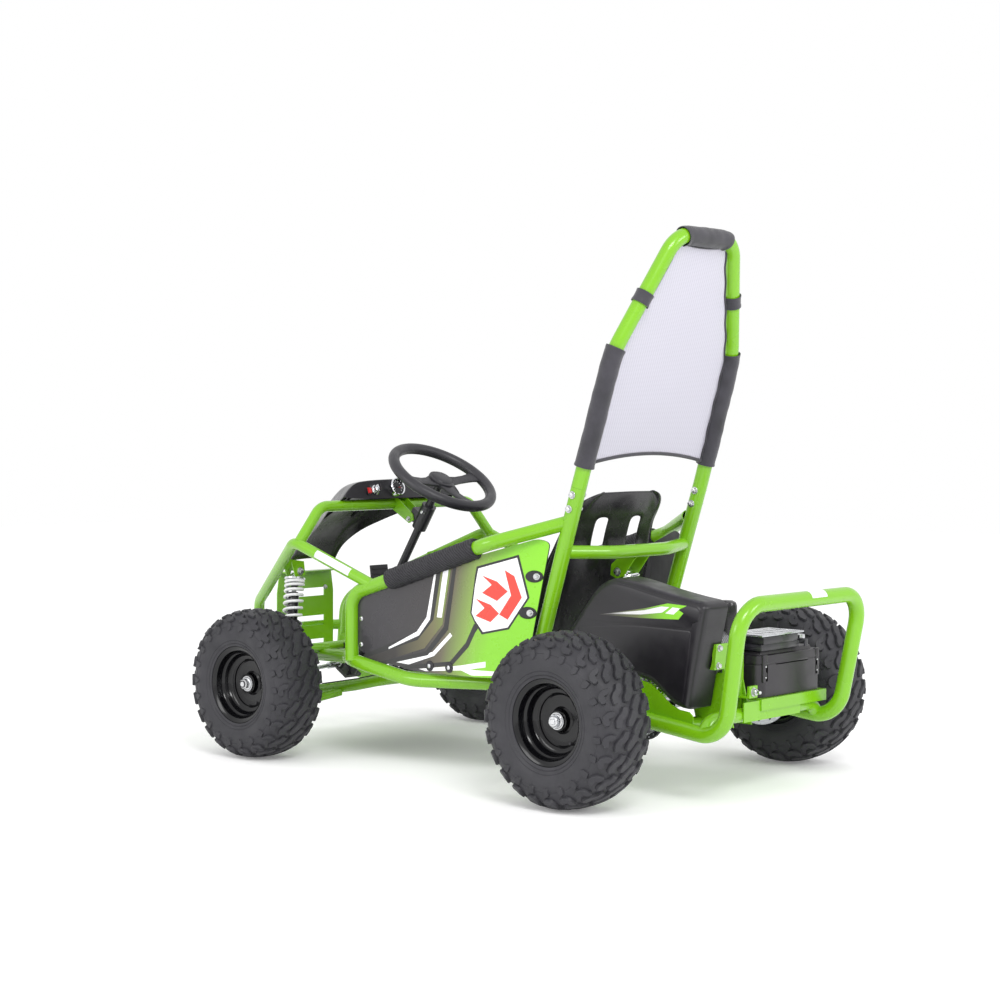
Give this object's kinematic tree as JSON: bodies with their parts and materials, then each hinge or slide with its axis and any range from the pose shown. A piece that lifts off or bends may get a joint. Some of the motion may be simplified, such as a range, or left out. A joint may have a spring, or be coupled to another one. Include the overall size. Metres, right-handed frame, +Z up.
{
  "type": "kids electric go-kart",
  "caption": "Child-size electric off-road go-kart with tube frame, bucket seat, steered front wheels, tall roll bar with net and a driven rear axle.",
  "frame": {"origin": "on the floor under the middle of the whole kart", "axes": "+X forward, +Y to the driver's left, +Z up"},
  "size_m": [1.5044, 0.909, 1.144],
  "materials": {
    "green": "gloss powder coat",
    "black_plastic": "satin moulded",
    "black_metal": "satin black paint",
    "floor_metal": "black painted sheet",
    "steel": "bright zinc",
    "white_spring": "gloss white coil",
    "shock_black": "gloss black",
    "motor_alloy": "ribbed cast",
    "battery_black": "satin moulded case",
    "clamp_steel": "zinc plated sheet",
    "grip": "soft moulded grip",
    "foam": "ribbed foam sleeve",
    "cloth": "woven nylon sleeve",
    "net": "fine mesh",
    "pedal_rubber": "ribbed rubber pad",
    "tyre": "knobbly tread",
    "rim": "gloss black steel"
  },
  "bodies": {
    "chassis": {"main_hoop": "green", "roll_bar": "green", "side_frames": "green", "front_arches": "green", "dash_hoop": "green", "cross_members": "green", "nose_bumper": "green", "floor_pan": "floor_metal", "nose_plate": "green", "dash_cowl": "black_plastic", "dash_gauges": "black_plastic", "column_support": "black_metal", "column_bearing": "black_metal", "suspension_arms": "green", "shock_absorbers": "shock_black", "shock_springs": "white_spring", "shock_brackets": "green", "rear_subframe": "green", "axle_bearings": "green", "motor": "motor_alloy", "motor_mount": "green", "drive_chain": "steel", "chain_cover": "black_plastic", "brake_caliper": "black_metal", "battery": "battery_black", "battery_tray": "green", "battery_clamp": "clamp_steel", "seat": "black_plastic", "seat_rails": "green", "side_panels": "black_plastic", "rail_sleeves": "foam", "hoop_sleeves": "cloth", "roll_net": "net", "accelerator_pedal": "pedal_rubber", "brake_pedal": "pedal_rubber"},
    "steering": {"steering_wheel": "grip", "steering_column": "black_metal"},
    "left_knuckle": {"knuckle_left": "black_metal"},
    "right_knuckle": {"knuckle_right": "black_metal"},
    "left_tie_rod": {"tie_rod_left": "steel"},
    "right_tie_rod": {"tie_rod_right": "steel"},
    "front_left_wheel": {"front_tyre_left": "tyre", "front_rim_left": "rim"},
    "front_right_wheel": {"front_tyre_right": "tyre", "front_rim_right": "rim"},
    "rear_wheels": {"rear_axle": "steel", "rear_tyres": "tyre", "rear_rims": "rim", "brake_disc": "steel", "axle_sprocket": "steel"}
  },
  "joints": [
    {"name": "steering_turn", "type": "hinge", "parent": "chassis", "child": "steering", "pos_m": [0.243, 0, 0.619], "axis": [-0.5299, 0, 0.848], "range_deg": [-44, 44]},
    {"name": "left_knuckle_steer", "type": "hinge", "parent": "chassis", "child": "left_knuckle", "pos_m": [0.4485, 0.29, 0.165], "axis": [0, 0, 1], "range_deg": [-24, 24]},
    {"name": "left_tie_rod_swing", "type": "hinge", "parent": "steering", "child": "left_tie_rod", "pos_m": [0.564, 0.016, 0.1619], "axis": [-0.5299, 0, 0.848], "range_deg": [-50, 50]},
    {"name": "front_left_wheel_spin", "type": "hinge", "parent": "left_knuckle", "child": "front_left_wheel", "pos_m": [0.4485, 0.382, 0.165], "axis": [0, 1, 0], "continuous": true},
    {"name": "right_knuckle_steer", "type": "hinge", "parent": "chassis", "child": "right_knuckle", "pos_m": [0.4485, -0.29, 0.165], "axis": [0, 0, 1], "range_deg": [-24, 24]},
    {"name": "right_tie_rod_swing", "type": "hinge", "parent": "steering", "child": "right_tie_rod", "pos_m": [0.564, -0.016, 0.1619], "axis": [-0.5299, 0, 0.848], "range_deg": [-50, 50]},
    {"name": "front_right_wheel_spin", "type": "hinge", "parent": "right_knuckle", "child": "front_right_wheel", "pos_m": [0.4485, -0.382, 0.165], "axis": [0, 1, 0], "continuous": true},
    {"name": "rear_axle_spin", "type": "hinge", "parent": "chassis", "child": "rear_wheels", "pos_m": [-0.4485, 0, 0.1725], "axis": [0, 1, 0], "continuous": true}
  ],
  "couplings": [
    {"joint": "left_knuckle_steer", "follows": "steering_turn", "ratio": 0.48},
    {"joint": "left_tie_rod_swing", "follows": "steering_turn", "ratio": -1.04},
    {"joint": "right_knuckle_steer", "follows": "steering_turn", "ratio": 0.48},
    {"joint": "right_tie_rod_swing", "follows": "steering_turn", "ratio": -1.04}
  ]
}
